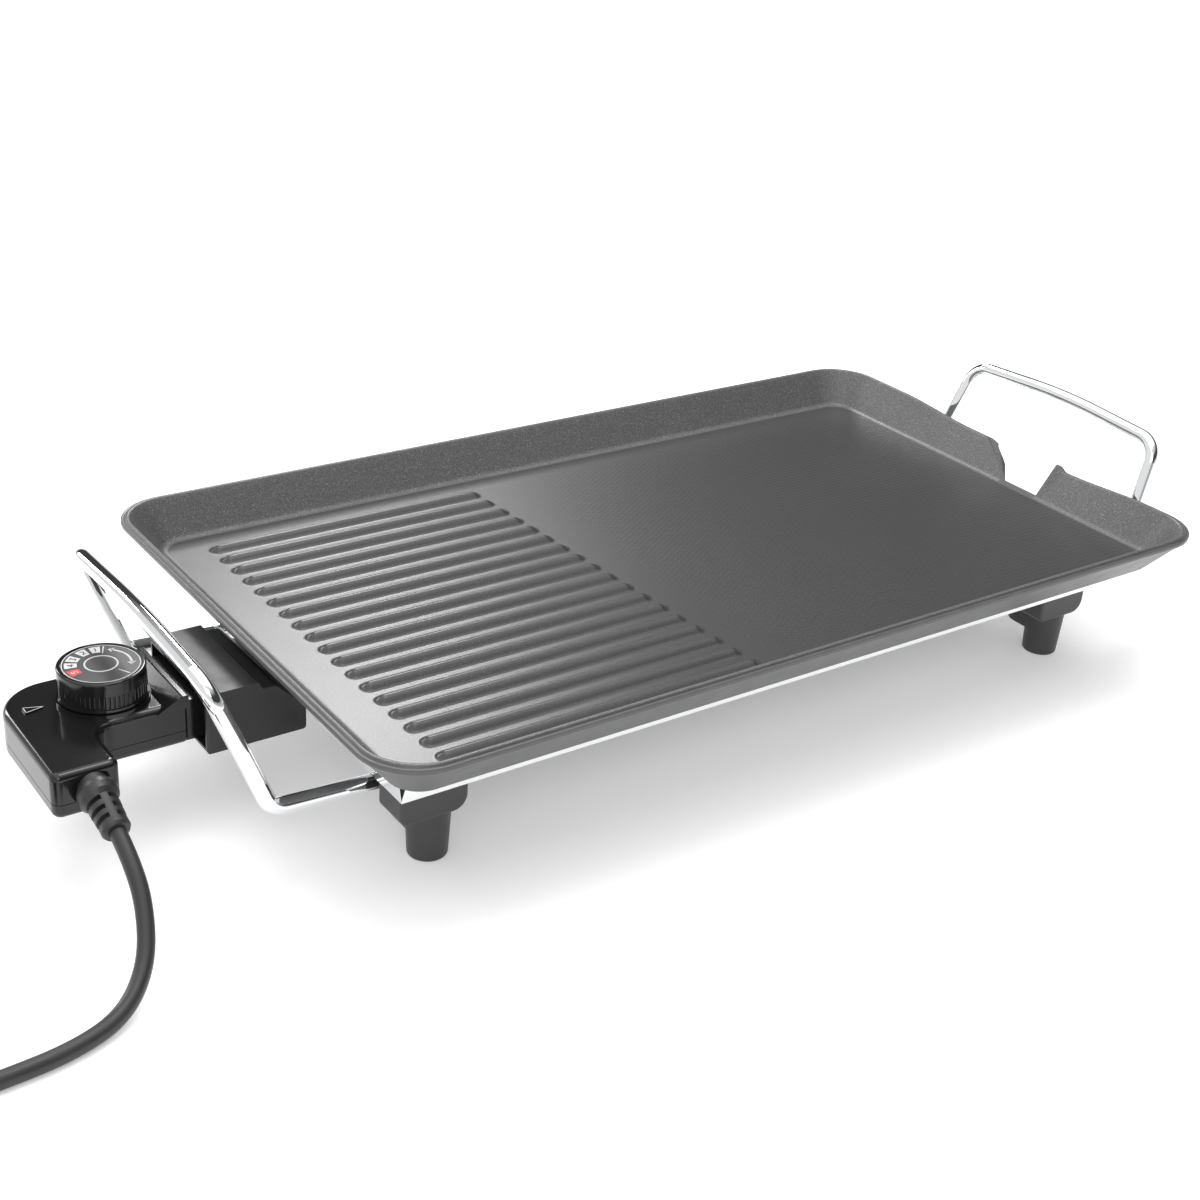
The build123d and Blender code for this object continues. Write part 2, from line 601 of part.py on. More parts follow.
def strain_relief():
    """Moulded sleeve: a ball against the shell, then a slotted taper that droops."""
    start = Vector(*CORD_EXIT)
    end = Vector(*RELIEF_END)
    run = end - start
    length = run.length
    axis = Plane(origin=start, z_dir=run)
    rise = [(0, -4), (6.3, -4), (6.3, 0.4), (7.8, 1.8), (8.4, 4.2), (8.0, 7.0), (6.6, 9.0),
            (5.9, length - 3.4), (5.9, length - 1.2), (5.2, length), (0, length)]
    profile = make_face(Polyline(*[(r, 0, h) for r, h in rise], close=True))
    sleeve = revolve(profile, Axis.Z)
    for h in (10.4, 15.0, 19.4):
        ring = Pos(0, 0, h) * (Cylinder(9, 2.2) - Cylinder(4.2, 2.2))
        spine = Pos(0, 0, h) * Box(20, 3.0, 2.2)
        sleeve -= ring - spine
    sleeve = axis.location * sleeve
    outside = block(-345, -295, -90, -50, 20, 80)
    neck = bar_y(CORD_EXIT[0], -50, -44.5, CORD_EXIT[2], 6.5)
    return (sleeve & outside) + neck


# ---- supply cord and plug -------------------------------------------------------------
def cord_route():
    """Corners of the cord from the strain relief down to the coil."""
    return [
        RELIEF_END, (-319.8, -84.8, 37.8), (-320.8, -99.8, 26.2), (-327.6, -116.6, 12.4),
        (-342.4, -130.6, 4.6), (-364.0, -138.0, 3.6), (-390.0, -139.7, 3.6), (-415.0, -139.4, 3.6),
    ]


def arc_radii(points):
    """The largest tangent arc that each corner's two runs allow."""
    radii = []
    for before, corner, after in zip(points, points[1:], points[2:]):
        incoming = Vector(*corner) - Vector(*before)
        outgoing = Vector(*after) - Vector(*corner)
        turn = radians(incoming.get_angle(outgoing))
        shorter = min(incoming.length, outgoing.length)
        radii.append(0.45 * shorter / tan(turn / 2))
    return radii


def power_cord():
    """The cord's loose stretch, with a check of its volume."""
    points = cord_route()
    radii = arc_radii(points)
    path = FilletPolyline(*points, radius=radii)
    section = Plane(origin=path @ 0, z_dir=path % 0) * Circle(CORD_RADIUS)
    tube = sweep(section, path)
    expected = pi * CORD_RADIUS ** 2 * path.length
    print("cord arc radii", [round(radius, 1) for radius in radii])
    print("cord length", round(path.length, 1), "volume ratio", round(tube.volume / expected, 4))
    return tube


def cord_coil():
    """Outer shape of the put-away coil, three turns wide and two high."""
    outer = COIL_OUTER_TURN + CORD_RADIUS
    inner = COIL_INNER_TURN - CORD_RADIUS
    ring = Cylinder(outer, COIL_HEIGHT) - Cylinder(inner, COIL_HEIGHT)
    ring = fillet(ring.edges(), 3.0)
    return Pos(COIL_CENTRE[0], COIL_CENTRE[1], COIL_HEIGHT / 2 + 0.1) * ring


PLUG_X = COIL_CENTRE[0] - COIL_OUTER_TURN
PLUG_Y = -66.0
PLUG_Z = 18.6


def cord_tail():
    """The short end of the cord, from the coil up into the plug."""
    points = [
        (PLUG_X, COIL_CENTRE[1] + 2, 10.8), (PLUG_X, COIL_CENTRE[1] + 14, 11.6),
        (PLUG_X, PLUG_Y - 6, PLUG_Z - 1.2), (PLUG_X, PLUG_Y + 2, PLUG_Z),
    ]
    radii = arc_radii(points)
    print("tail arc radii", [round(radius, 1) for radius in radii])
    return swept_wire(points, radii, CORD_RADIUS)


def plug_body():
    """Round two-pin earthed plug, lying beside the coil."""
    rise = [(0, 0), (5.6, 0), (6.4, 14), (9.0, 20), (16.5, 26), (18.2, 30), (18.2, 44), (17.2, 45), (0, 45)]
    half = make_face(Polyline(*[(r, 0, h) for r, h in rise], close=True))
    body = revolve(half, Axis.Z)
    body = Pos(PLUG_X, PLUG_Y, PLUG_Z) * Rot(-90, 0, 0) * body
    body -= bar_y(PLUG_X, PLUG_Y - 1, PLUG_Y + 2, PLUG_Z, CORD_RADIUS + FIT)
    for dx in (-9.5, 9.5):
        body -= bar_y(PLUG_X + dx, PLUG_Y + 37, PLUG_Y + 46, PLUG_Z, PIN_RADIUS)
    return body


def plug_pins():
    """The plug's two round pins."""
    pins = []
    for dx in (-9.5, 9.5):
        pin = bar_y(PLUG_X + dx, PLUG_Y + 37, PLUG_Y + 64, PLUG_Z, PIN_RADIUS)
        pins.append(fillet(pin.edges().group_by(Axis.Y)[-1], 1.2))
    return Compound(children=pins)


# ---- write every node ----------------------------------------------------------------
save("griddle_plate", griddle_plate())
save("base_frame", base_frame())
save("left_handle", handle(-1))
save("right_handle", handle(1))
left_foot = front_foot(FOOT_BLOCK_X[0], -1)
right_foot = front_foot(FOOT_BLOCK_X[1], 1)
save("front_left_foot", left_foot)
save("front_right_foot", right_foot)
save("rear_left_foot", Rot(0, 0, 180) * right_foot)
save("rear_right_foot", Rot(0, 0, 180) * left_foot)
save("foot_screws", foot_screws())
save("plate_screws", plate_screws())
save("heating_element", heating_element())
save("element_straps", element_straps())
save("strap_rivets", strap_rivets())
save("element_seals", element_seals())
save("terminal_pins", terminal_pins())

whole_socket = socket_shell()
save("socket_housing", whole_socket - cover_space())
save("socket_cover", whole_socket & cover_space())
save("earth_contact", earth_contact())

whole_shell = controller_shell()
for tower in screw_towers():
    whole_shell += tower
for x, y in CONTROLLER_SCREWS:
    whole_shell -= post(x, y, BODY_BOTTOM - 1, BODY_TOP - 4, 1.4)
upper = whole_shell & half_space(BODY_SEAM, 90)
lower = whole_shell & half_space(0, BODY_SEAM)
save("controller_upper_shell", upper)
save("controller_lower_shell", lower)
save("controller_screws", controller_screws())
save("control_knob", control_knob())
save("dial_disc", dial_disc())
save("knob_spindle", knob_spindle())
save("spindle_bush", spindle_bush())
save("bush_nut", bush_nut())
save("switch_stack", switch_stack())
save("stack_screw", stack_screw())
save("upper_contact_leaf", upper_leaf())
save("lower_contact_leaf", lower_leaf())
save("bimetal_strip", bimetal_strip())
save("probe_tube", probe_tube())
save("pin_sockets", pin_sockets())
save("socket_carrier", socket_carrier())
save("cord_clamp", cord_clamp())
save("strain_relief", strain_relief())
save("power_cord", power_cord())
save("cord_coil", cord_coil())
save("cord_tail", cord_tail())
save("plug_body", plug_body())
save("plug_pins", plug_pins())
print("plate centre x", round(PLATE_X, 2))
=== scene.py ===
import bpy
import bmesh
import json
import numpy as np
from math import atan2, cos, hypot, pi, radians, sin
from mathutils import Matrix, Vector


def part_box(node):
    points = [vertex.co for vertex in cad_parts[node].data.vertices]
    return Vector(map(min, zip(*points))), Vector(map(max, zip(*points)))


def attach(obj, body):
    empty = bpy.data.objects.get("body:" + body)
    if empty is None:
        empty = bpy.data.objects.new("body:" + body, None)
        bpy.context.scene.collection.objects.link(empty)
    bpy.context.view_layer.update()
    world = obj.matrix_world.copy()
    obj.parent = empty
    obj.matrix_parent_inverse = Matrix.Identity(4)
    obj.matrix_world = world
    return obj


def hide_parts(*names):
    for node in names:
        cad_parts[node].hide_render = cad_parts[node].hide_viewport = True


# Electric griddle. Shapes are drawn in millimetres about the centre of the
# cooking plate, with z from the floor, as the frame's own nodes are laid out,
# and turned into metres by metres().

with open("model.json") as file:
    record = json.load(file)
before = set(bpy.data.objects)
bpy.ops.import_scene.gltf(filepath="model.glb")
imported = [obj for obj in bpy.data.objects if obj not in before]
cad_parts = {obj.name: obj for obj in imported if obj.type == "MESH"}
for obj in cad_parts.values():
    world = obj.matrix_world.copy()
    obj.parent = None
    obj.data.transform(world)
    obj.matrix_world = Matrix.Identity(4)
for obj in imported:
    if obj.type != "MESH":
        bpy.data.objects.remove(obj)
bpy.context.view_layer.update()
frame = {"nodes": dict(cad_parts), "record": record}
MM = 0.001


def node_box(name):
    """A node's corners in millimetres."""
    low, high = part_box(name)
    return [v / MM for v in low], [v / MM for v in high]


PLATE_LOW, PLATE_HIGH = node_box("griddle_plate")
PLATE_X = (PLATE_LOW[0] + PLATE_HIGH[0]) / 2
HALF_X = (PLATE_HIGH[0] - PLATE_LOW[0]) / 2
HALF_Y = (PLATE_HIGH[1] - PLATE_LOW[1]) / 2
RIM_Z = PLATE_HIGH[2]


def metres(point):
    """Plate-centred millimetres to the frame's metres."""
    return Vector(((point[0] + PLATE_X) * MM, point[1] * MM, point[2] * MM))


# ---- material helpers ------------------------------------------------------
def new_material(name):
    """An empty node material and its shader."""
    material = bpy.data.materials.new(name)
    material.use_nodes = True
    tree = material.node_tree
    tree.nodes.clear()
    output = tree.nodes.new("ShaderNodeOutputMaterial")
    shader = tree.nodes.new("ShaderNodeBsdfPrincipled")
    tree.links.new(shader.outputs["BSDF"], output.inputs["Surface"])
    return material, tree, shader


def place(tree):
    """Object coordinates in metres."""
    return tree.nodes.new("ShaderNodeTexCoord").outputs["Object"]


def noise(tree, vector, scale, detail=2.0, rough=0.5):
    """Noise, features about 1/scale metres across."""
    node = tree.nodes.new("ShaderNodeTexNoise")
    node.inputs["Scale"].default_value = scale
    node.inputs["Detail"].default_value = detail
    node.inputs["Roughness"].default_value = rough
    tree.links.new(vector, node.inputs["Vector"])
    return node.outputs["Fac"]


def ramp(tree, value, stops):
    """Colour ramp from grey levels or colours."""
    node = tree.nodes.new("ShaderNodeValToRGB")
    elements = node.color_ramp.elements
    while len(elements) < len(stops):
        elements.new(0.5)
    for element, (position, colour) in zip(elements, stops):
        element.position = position
        level = colour if isinstance(colour, tuple) else (colour, colour, colour)
        element.color = (*level, 1)
    tree.links.new(value, node.inputs["Fac"])
    return node.outputs["Color"]


def maths(tree, operation, first, second=None):
    """One maths node on links or numbers."""
    node = tree.nodes.new("ShaderNodeMath")
    node.operation = operation
    for socket, value in zip(node.inputs, (first, second)):
        if value is None:
            continue
        if isinstance(value, (int, float)):
            socket.default_value = value
        else:
            tree.links.new(value, socket)
    return node.outputs[0]


def bump(tree, shader, height, strength, distance):
    """Bump of a height link onto the shader."""
    node = tree.nodes.new("ShaderNodeBump")
    node.inputs["Strength"].default_value = strength
    node.inputs["Distance"].default_value = distance
    tree.links.new(height, node.inputs["Height"])
    tree.links.new(node.outputs["Normal"], shader.inputs["Normal"])


GRAIN_SCALE = 1500
WAVE_LENGTH = 0.005
WAVE_SWING = 0.00042
ROW_PITCH = 0.003
ROW_DEPTH = 0.42


def coating(name, speckle_stops, rough_stops, wavy):
    """Speckled non-stick coating; wavy adds fine wave rows to the right of the ribs."""
    material, tree, shader = new_material(name)
    where = place(tree)
    grains = noise(tree, where, GRAIN_SCALE, 2.0, 0.6)
    clouds = noise(tree, where, 9, 3.0, 0.5)
    speckle = ramp(tree, grains, speckle_stops)
    tint = ramp(tree, clouds, [(0.3, 0.94), (0.7, 1.05)])
    mix = tree.nodes.new("ShaderNodeMix")
    mix.data_type = "RGBA"
    mix.blend_type = "MULTIPLY"
    mix.inputs["Factor"].default_value = 1.0
    tree.links.new(speckle, mix.inputs["A"])
    tree.links.new(tint, mix.inputs["B"])
    tree.links.new(mix.outputs["Result"], shader.inputs["Base Color"])
    tree.links.new(ramp(tree, grains, rough_stops), shader.inputs["Roughness"])
    height = maths(tree, "MULTIPLY", grains, 0.5)
    if wavy:
        split = tree.nodes.new("ShaderNodeSeparateXYZ")
        tree.links.new(where, split.inputs[0])
        wave = maths(tree, "SINE", maths(tree, "MULTIPLY", split.outputs["X"], 2 * pi / WAVE_LENGTH))
        shifted = maths(tree, "ADD", split.outputs["Y"], maths(tree, "MULTIPLY", wave, WAVE_SWING))
        rows = maths(tree, "SINE", maths(tree, "MULTIPLY", shifted, 2 * pi / ROW_PITCH))
        flat_part = ramp(tree, maths(tree, "ADD", split.outputs["X"], 0.5), [(0.49, 0.0), (0.52, 1.0)])
        rows = maths(tree, "MULTIPLY", rows, flat_part)
        height = maths(tree, "ADD", height, maths(tree, "MULTIPLY", rows, ROW_DEPTH))
    bump(tree, shader, height, 0.4, 0.00016)
    shader.inputs["Specular IOR Level"].default_value = 0.5
    return material


def plain_material(name, colour, roughness, metallic=0.0, grain=900, depth=0.15, spread=0.08):
    """A solid finish with a little variation in tone, gloss and surface."""
    material, tree, shader = new_material(name)
    where = place(tree)
    tone = noise(tree, where, grain / 14, 3.0, 0.55)
    fine = noise(tree, where, grain, 2.0, 0.5)
    low = tuple(c * (1 - spread) for c in colour)
    high = tuple(c * (1 + spread) for c in colour)
    tree.links.new(ramp(tree, tone, [(0.3, low), (0.7, high)]), shader.inputs["Base Color"])
    tree.links.new(
        ramp(tree, tone, [(0.3, roughness * 0.88), (0.7, roughness * 1.12)]), shader.inputs["Roughness"]
    )
    shader.inputs["Metallic"].default_value = metallic
    if depth:
        bump(tree, shader, fine, depth, 0.00004)
    return material


WALL_SPECKLE = [(0.30, 0.058), (0.50, 0.092), (0.62, 0.130), (0.74, 0.30)]
FLOOR_SPECKLE = [(0.30, 0.034), (0.55, 0.045), (0.66, 0.062), (0.76, 0.12)]

MATERIALS = {
    "coated_plate": coating("coating", WALL_SPECKLE, [(0.35, 0.42), (0.7, 0.32)], False),
    "chrome_sheet": plain_material("chrome_band", (0.84, 0.85, 0.86), 0.09, 1.0, 300, 0.05, 0.02),
    "chrome_wire": plain_material("chrome_rod", (0.88, 0.89, 0.90), 0.035, 1.0, 200, 0.03, 0.02),
    "foot_plastic": plain_material("foot_moulding", (0.044, 0.044, 0.044), 0.42, 0, 2400, 0.3, 0.05),
    "screw_steel": plain_material("zinc_screw", (0.62, 0.62, 0.60), 0.3, 1.0, 900, 0.1),
    "element_sheath": plain_material("element_tube", (0.34, 0.31, 0.28), 0.45, 1.0, 500, 0.2, 0.2),
    "strap_steel": plain_material("strap_strip", (0.55, 0.55, 0.54), 0.35, 1.0, 700, 0.1),
    "ceramic": plain_material("ceramic_block", (0.80, 0.77, 0.70), 0.6, 0, 900, 0.2),
    "brass_pin": plain_material("plated_brass", (0.78, 0.68, 0.46), 0.22, 1.0, 500, 0.06),
    "socket_plastic": plain_material("socket_moulding", (0.020, 0.020, 0.020), 0.42, 0, 1800, 0.12, 0.06),
    "controller_plastic": plain_material("gloss_black", (0.009, 0.009, 0.009), 0.13, 0, 160, 0.04, 0.05),
    "dial_face": plain_material("dial_black", (0.012, 0.012, 0.012), 0.3, 0, 1200, 0.08, 0.05),
    "cord_rubber": plain_material("cord_rubber", (0.026, 0.026, 0.026), 0.42, 0, 1500, 0.25, 0.08),
}
FLOOR_COATING = coating("floor_coating", FLOOR_SPECKLE, [(0.35, 0.34), (0.7, 0.28)], True)
OUTER_PAINT = plain_material("outer_paint", (0.088, 0.088, 0.090), 0.36, 0, 1300, 0.2, 0.08)
DIAL_WHITE = plain_material("dial_print", (0.60, 0.60, 0.60), 0.5, 0, 1500, 0.05, 0.04)
DIAL_RED = plain_material("dial_red", (0.62, 0.03, 0.025), 0.5, 0, 1500, 0.05, 0.05)

for entry in frame["record"]["subparts"]:
    node = frame["nodes"][entry["node"]]
    node.data.materials.clear()
    node.data.materials.append(MATERIALS[entry["material_slot"]])


# ---- mesh helpers --------------------------------------------------------------
def mesh_object(name, points, faces, material, smooth_degrees=35):
    """A mesh of plate-centred millimetre points."""
    mesh = bpy.data.meshes.new(name)
    mesh.from_pydata([metres(p) for p in points], [], faces)
    mesh.validate()
    mesh.update()
    piece = bpy.data.objects.new(name, mesh)
    bpy.context.scene.collection.objects.link(piece)
    mesh.materials.append(material)
    mesh.shade_smooth()
    mesh.set_sharp_from_angle(angle=radians(smooth_degrees))
    return piece


# ---- cooking plate ---------------------------------------------------------------
FLOOR_Z = 60.0
PLATE_BOTTOM = 55.0
WALL_LEAN = 13.7
RIM_INSET = 3.8
BASE_FILLET = 4.5
RIB_COUNT = 18
RIB_PITCH = 12.62
RIB_MIDDLE_Y = -3.5
RIB_WIDTH = 8.2
RIB_RISE = 2.6
RIB_LEFT = -201.5
RIB_RIGHT = -35.5
RIB_RIGHT_SLANT = 14.5
NOTCH_FRONT = -38.4
NOTCH_REAR = (-13.0, -5.2, 2.3, 8.5, 15.2)
NOTCH_REAR_Z = (60.0, 68.0, 71.9, 75.6, 78.0)
NOTCH_FLOOR = (NOTCH_FRONT, NOTCH_REAR[0])
CORNER_OUT = 27.0
CORNER_FLOOR = 12.0
CORNER_REACH = 19.0
DIP_MIDDLE_Y = -8.0
DIP_DEPTH = 3.2
DIP_FLAT = 34.0
DIP_FADE = 62.0
LIP_RISE = 2.6
LIP_WIDTH = 6.0
INNER_RINGS = 13
OUTER_RINGS = 20
BOSS_X = 200.0
BOSS_Y = 60.0
BOSS_RADIUS = 5.0
BOSS_LOW_Z = 39.2
BOSS_HIGH_Z = 55.2


def plate_profile():
    """Rings from the floor's edge outwards and down: (inset, z)."""
    rings = []
    wall_angle = atan2(RIM_Z - FLOOR_Z, WALL_LEAN)
    foot_inset = RIM_INSET + WALL_LEAN
    tangent = BASE_FILLET * (1 - cos(wall_angle)) / sin(wall_angle)
    steps = 7
    for index in range(steps + 1):
        angle = wall_angle * index / steps
        inset = foot_inset + tangent - BASE_FILLET * sin(angle)
        rings.append((inset, FLOOR_Z + BASE_FILLET * (1 - cos(angle))))
    start = rings[-1]
    top = (RIM_INSET + 0.5, RIM_Z - 0.7)
    for index in range(1, 7):
        part = index / 6
        rings.append((start[0] + (top[0] - start[0]) * part, start[1] + (top[1] - start[1]) * part))
    crest = [(3.9, -0.25), (3.4, -0.05), (2.9, 0.0), (2.45, -0.05), (2.1, -0.25), (1.85, -0.6),
             (1.7, -1.0), (1.45, -1.15), (1.1, -1.15), (0.8, -1.0), (0.5, -0.95), (0.2, -1.05),
             (0.05, -1.3), (0.0, -1.6), (0.0, -2.7), (0.08, -3.1), (0.35, -3.4), (1.3, -3.75)]
    rings += [(inset, RIM_Z + drop) for inset, drop in crest]
    low_inset = 17.6
    wall_from = (1.9, RIM_Z - 4.4)
    rings.append(wall_from)
    outer_steps = 8
    turn_z = PLATE_BOTTOM + 1.6
    for index in range(1, outer_steps + 1):
        part = index / outer_steps
        z = wall_from[1] + (turn_z - wall_from[1]) * part
        if index == outer_steps - 2:
            z = FLOOR_Z
            part = (z - wall_from[1]) / (turn_z - wall_from[1])
        rings.append((wall_from[0] + (low_inset - 1.4 - wall_from[0]) * part, z))
    rings += [(low_inset - 0.6, PLATE_BOTTOM + 0.7), (low_inset + 0.3, PLATE_BOTTOM + 0.15),
              (low_inset + 1.6, PLATE_BOTTOM), (low_inset + 12, PLATE_BOTTOM)]
    return rings


def corner_radius(inset):
    """Corner radius of the ring at an inset: 27 at the rim, tighter at the floor."""
    part = min(inset / CORNER_REACH, 1.0)
    return CORNER_OUT + (CORNER_FLOOR - CORNER_OUT) * part


def spaced(start, end, step):
    """Evenly spaced values including both ends."""
    count = max(1, round(abs(end - start) / step))
    return [start + (end - start) * index / count for index in range(count + 1)]


def grid_lines(half, radius, knots):
    """Lines across the floor: fine in the corners, with a step between knots."""
    lines = []
    corner = spaced(-half, -half + radius, radius / 12)
    lines += corner
    previous = -half + radius
    for (knot, step) in knots + [(half - radius, knots[-1][1])]:
        lines += spaced(previous, knot, step)[1:]
        previous = knot
    lines += [-v for v in reversed(corner)][1:]
    return lines


def bell(t):
    """Smooth bump, 1 at t = 0 and 0 from |t| = 1."""
    t = np.clip(np.abs(t), 0, 1)
    return 0.5 + 0.5 * np.cos(pi * t)


def rib_height(x, y):
    """Height of the ribs above the floor."""
    total = np.zeros_like(x)
    for index in range(RIB_COUNT):
        middle = RIB_MIDDLE_Y + (index - (RIB_COUNT - 1) / 2) * RIB_PITCH
        right = RIB_RIGHT - RIB_RIGHT_SLANT * index / (RIB_COUNT - 1)
        half = RIB_WIDTH / 2
        along = np.clip(x, RIB_LEFT + half, right - half)
        away = np.hypot(x - along, y - middle)
        side = np.clip(away / half, 0, 1)
        total = np.maximum(total, RIB_RISE * (1 - side ** 2) ** 1.35)
    return total


def ring_point(inset, z, sample):
    """A ring's point for one sample of the floor's edge."""
    side, value = sample
    hx = HALF_X - inset
    hy = HALF_Y - inset
    radius = corner_radius(inset)
    if side == "corner":
        sx, sy, angle = value
        return (sx * (hx - radius + radius * cos(angle)), sy * (hy - radius + radius * sin(angle)), z)
    base_inset = PROFILE[0][0]
    base_radius = corner_radius(base_inset)
    if side in ("front", "rear"):
        straight = HALF_X - base_inset - base_radius
        x = value * (hx - radius) / straight
        return (x, -hy if side == "front" else hy, z)
    straight = HALF_Y - base_inset - base_radius
    here = hy - radius
    y = value * here / straight
    if side == "right":
        rise = (z - FLOOR_Z) / (RIM_Z - FLOOR_Z)
        rise = min(max(rise, 0.0), 1.0)
        high = float(np.interp(z, NOTCH_REAR_Z, NOTCH_REAR))
        y = float(np.interp(value, [-straight, NOTCH_FLOOR[0], NOTCH_FLOOR[1], straight],
                            [-here, NOTCH_FRONT, high, here]))
        return (hx, y, z - right_dip(y) * rise)
    return (-hx, y, z)


def right_dip(y):
    """How far the right rim sinks beside the drain notch."""
    away = abs(y - DIP_MIDDLE_Y)
    dip = DIP_DEPTH * float(bell((away - DIP_FLAT) / DIP_FADE)) if away > DIP_FLAT else DIP_DEPTH
    lip = LIP_RISE * float(bell((y - NOTCH_FRONT) / LIP_WIDTH)) if y <= NOTCH_FRONT + 0.01 else 0.0
    return dip - lip


PROFILE = plate_profile()
CREST_RING = next(k for k, (inset, z) in enumerate(PROFILE) if k > INNER_RINGS and inset < 2.2)


def plate_piece():
    """The whole plate: floor grid, walls, rim, underside and drain notch."""
    base_inset = PROFILE[0][0]
    radius = corner_radius(base_inset)
    half_x = HALF_X - base_inset
    half_y = HALF_Y - base_inset
    xs = grid_lines(half_x, radius, [(-206.5, 2.0), (-192, 0.9), (-58, 4.5), (-28, 1.1), (205, 6.0)])
    fine_y = [(NOTCH_FLOOR[0], 0.79), (NOTCH_FLOOR[1], 0.8), (100, 0.79)]
    ys = grid_lines(half_y, radius, fine_y)
    nx = len(xs)
    ny = len(ys)
    gx, gy = np.meshgrid(np.array(xs), np.array(ys), indexing="ij")
    ax = np.abs(gx) - (half_x - radius)
    ay = np.abs(gy) - (half_y - radius)
    inside = (ax > 0) & (ay > 0)
    longest = np.maximum(ax, ay)
    length = np.hypot(ax, ay)
    factor = np.where(inside, longest / np.where(length > 0, length, 1), 1.0)
    px = np.where(inside, np.sign(gx) * (half_x - radius + ax * factor), gx)
    py = np.where(inside, np.sign(gy) * (half_y - radius + ay * factor), gy)
    pz = FLOOR_Z + rib_height(px, py)
    points = [tuple(p) for p in np.stack([px, py, pz], axis=-1).reshape(-1, 3)]
    faces = []
    for i in range(nx - 1):
        for j in range(ny - 1):
            a = i * ny + j
            faces.append((a, a + ny, a + ny + 1, a + 1))
    loop = [(i, 0) for i in range(nx - 1)] + [(nx - 1, j) for j in range(ny - 1)]
    loop += [(i, ny - 1) for i in range(nx - 1, 0, -1)] + [(0, j) for j in range(ny - 1, 0, -1)]
    samples = []
    for i, j in loop:
        x = float(px[i, j])
        y = float(py[i, j])
        cx = abs(x) - (half_x - radius)
        cy = abs(y) - (half_y - radius)
        if cx > 1e-6 and cy > 1e-6:
            samples.append(("corner", (np.sign(x), np.sign(y), atan2(cy, cx))))
        elif cy > -1e-6 and abs(cy - radius) < 1e-3:
            samples.append(("front" if y < 0 else "rear", x))
        else:
            samples.append(("left" if x < 0 else "right", y))
    count = len(loop)
    rings = [[i * ny + j for i, j in loop]]
    for inset, z in PROFILE[1:]:
        start = len(points)
        points += [ring_point(inset, z, sample) for sample in samples]
        rings.append(list(range(start, start + count)))
    in_notch = [
        side == "right" and NOTCH_FLOOR[0] - 1e-4 <= value <= NOTCH_FLOOR[1] + 1e-4
        for side, value in samples
    ]
    ring_of_face = []
    low_ring = next(k for k, (_, z) in enumerate(PROFILE) if k > OUTER_RINGS and abs(z - FLOOR_Z) < 1e-6)
    for k in range(len(rings) - 1):
        for j in range(count):
            n = (j + 1) % count
            if k < low_ring and in_notch[j] and in_notch[n]:
                continue
            faces.append((rings[k][j], rings[k + 1][j], rings[k + 1][n], rings[k][n]))
            ring_of_face.append(k)
    notch = [j for j in range(count) if in_notch[j]]
    for j in notch[:-1]:
        n = (j + 1) % count
        faces.append((rings[0][j], rings[low_ring][j], rings[low_ring][n], rings[0][n]))
    faces.append(tuple(rings[k][notch[0]] for k in range(low_ring, -1, -1)))
    faces.append(tuple(rings[k][notch[-1]] for k in range(0, low_ring + 1)))
    faces.append(tuple(reversed(rings[-1])))
    piece = mesh_object("cooking_plate", points, faces, MATERIALS["coated_plate"], 40)
    piece.data.materials.append(FLOOR_COATING)
    piece.data.materials.append(OUTER_PAINT)
    grid_faces = (nx - 1) * (ny - 1)
    for face in piece.data.polygons:
        place_in_rings = face.index - grid_faces
        if place_in_rings < 0:
            face.material_index = 1
        elif place_in_rings < len(ring_of_face) and ring_of_face[place_in_rings] >= CREST_RING:
            face.material_index = 2
    bm = bmesh.new()
    bm.from_mesh(piece.data)
    bmesh.ops.recalc_face_normals(bm, faces=bm.faces)
    for sx in (-1, 1):
        for sy in (-1, 1):
            middle = metres((sx * BOSS_X, sy * BOSS_Y, (BOSS_LOW_Z + BOSS_HIGH_Z) / 2))
            bmesh.ops.create_cone(
                bm, cap_ends=True, segments=32, radius1=BOSS_RADIUS * MM, radius2=BOSS_RADIUS * MM,
                depth=(BOSS_HIGH_Z - BOSS_LOW_Z) * MM, matrix=Matrix.Translation(middle))
    bm.to_mesh(piece.data)
    bm.free()
    piece.data.shade_smooth()
    piece.data.set_sharp_from_angle(angle=radians(40))
    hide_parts("griddle_plate")
    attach(piece, "griddle")
    return piece


plate_piece()


# ---- dial print and pointer ---------------------------------------------------------
KNOB = (-296.0, 0.0)
DIAL_Z = 74.35
PALE_Z = DIAL_Z + 0.03
FIGURE_Z = DIAL_Z + 0.06
FIGURE_SCALE = 0.95
FIGURE_STROKE = 0.5
MARK_INNER = 9.6
MARK_OUTER = 14.7
STROKES = {
    "1": [((0.0, -1.3), (0.0, 1.3))],
    "2": [((-0.7, 1.2), (0.7, 1.2)), ((0.7, 1.2), (0.7, 0.1)), ((0.7, 0.1), (-0.7, -1.2)),
          ((-0.7, -1.2), (0.8, -1.2))],
    "3": [((-0.7, 1.2), (0.7, 1.2)), ((0.7, 1.2), (0.0, 0.1)), ((0.0, 0.1), (0.7, -0.4)),
          ((0.7, -0.4), (0.4, -1.2)), ((0.4, -1.2), (-0.7, -1.2))],
    "4": [((0.4, -1.3), (0.4, 1.3)), ((0.4, 1.3), (-0.8, -0.5)), ((-0.8, -0.5), (0.9, -0.5))],
    "5": [((0.7, 1.2), (-0.6, 1.2)), ((-0.6, 1.2), (-0.6, 0.2)), ((-0.6, 0.2), (0.5, 0.2)),
          ((0.5, 0.2), (0.7, -0.5)), ((0.7, -0.5), (0.4, -1.2)), ((0.4, -1.2), (-0.7, -1.2))],
}


